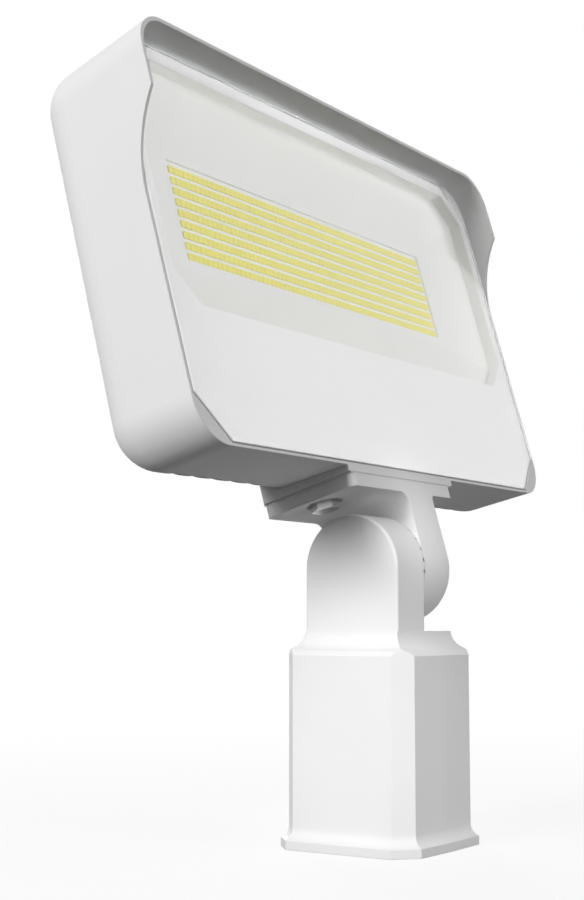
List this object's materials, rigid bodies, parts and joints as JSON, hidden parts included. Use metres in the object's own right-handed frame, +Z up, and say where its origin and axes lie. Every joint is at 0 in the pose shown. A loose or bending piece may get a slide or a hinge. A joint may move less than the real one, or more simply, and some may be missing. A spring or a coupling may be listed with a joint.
{
  "type": "flood light",
  "caption": "White outdoor LED flood light with a hooded rectangular head, tilting on a toothed knuckle above a square slip fitter for a pole tenon.",
  "frame": {"origin": "on the pole axis, at the bottom face of the slip fitter", "axes": "+Z up along the pole, the light faces -Y, +X to the right seen from the front; the rest pose is the picture's, with the head tilted back 15.9 degrees"},
  "size_m": [0.3456, 0.132, 0.3954],
  "materials": {
    "white_casting": "die-cast aluminium with a smooth satin white powder coat",
    "clear_glass": "clear toughened flat glass with a ground edge",
    "white_print": "white enamel screen print on the back of the glass",
    "seal_rubber": "moulded silicone rubber",
    "reflector_white": "moulded white polycarbonate, satin",
    "board_white": "white solder mask on an aluminium core board",
    "thermal_sheet": "grey thermal sheet",
    "led_phosphor": "yellow phosphor over the light emitters",
    "steel": "plain stainless steel",
    "brass": "plain brass",
    "driver_metal": "bare folded aluminium",
    "circuit_board": "green solder mask",
    "ferrite": "sintered ferrite with a wound coil",
    "capacitor_sleeve": "printed plastic sleeve",
    "red_wire": "insulated wire",
    "black_wire": "insulated wire",
    "block_plastic": "moulded natural polyamide"
  },
  "bodies": {
    "base": {"slip_fitter": "white_casting"},
    "head": {"housing": "white_casting", "lens_glass": "clear_glass", "lens_print": "white_print", "lens_gasket": "seal_rubber", "reflector": "reflector_white", "reflector_screws": "steel", "led_board": "board_white", "thermal_pad": "thermal_sheet", "led_chips": "led_phosphor", "board_screws": "steel", "driver_case": "driver_metal", "driver_lid": "driver_metal", "driver_board": "circuit_board", "driver_transformer": "ferrite", "driver_capacitors": "capacitor_sleeve", "driver_screws": "steel", "board_leads": "red_wire", "driver_leads": "black_wire", "terminal_block": "block_plastic", "block_screw": "steel", "earth_screw": "brass", "wire_grommet": "seal_rubber", "bracket": "white_casting", "bracket_gasket": "seal_rubber", "bracket_bolts": "steel"},
    "knuckle_bolt": {"knuckle_bolt": "steel", "knuckle_washer": "steel", "knuckle_spring_washer": "steel"},
    "lower_tenon_screw": {"tenon_screw_lower": "steel"},
    "upper_tenon_screw": {"tenon_screw_upper": "steel"}
  },
  "joints": [
    {"name": "head_tilt", "type": "hinge", "parent": "base", "child": "head", "pos_m": [0, 0, 0.141], "axis": [-1, 0, 0], "range_deg": [-105.9, 74.1]},
    {"name": "knuckle_bolt_slide", "type": "slide", "parent": "base", "child": "knuckle_bolt", "axis": [1, 0, 0], "range_m": [0, 0.004]},
    {"name": "lower_tenon_screw_slide", "type": "slide", "parent": "base", "child": "lower_tenon_screw", "axis": [-1, 0, 0], "range_m": [-0.003, 0.007]},
    {"name": "upper_tenon_screw_slide", "type": "slide", "parent": "base", "child": "upper_tenon_screw", "axis": [-1, 0, 0], "range_m": [-0.003, 0.007]}
  ]
}
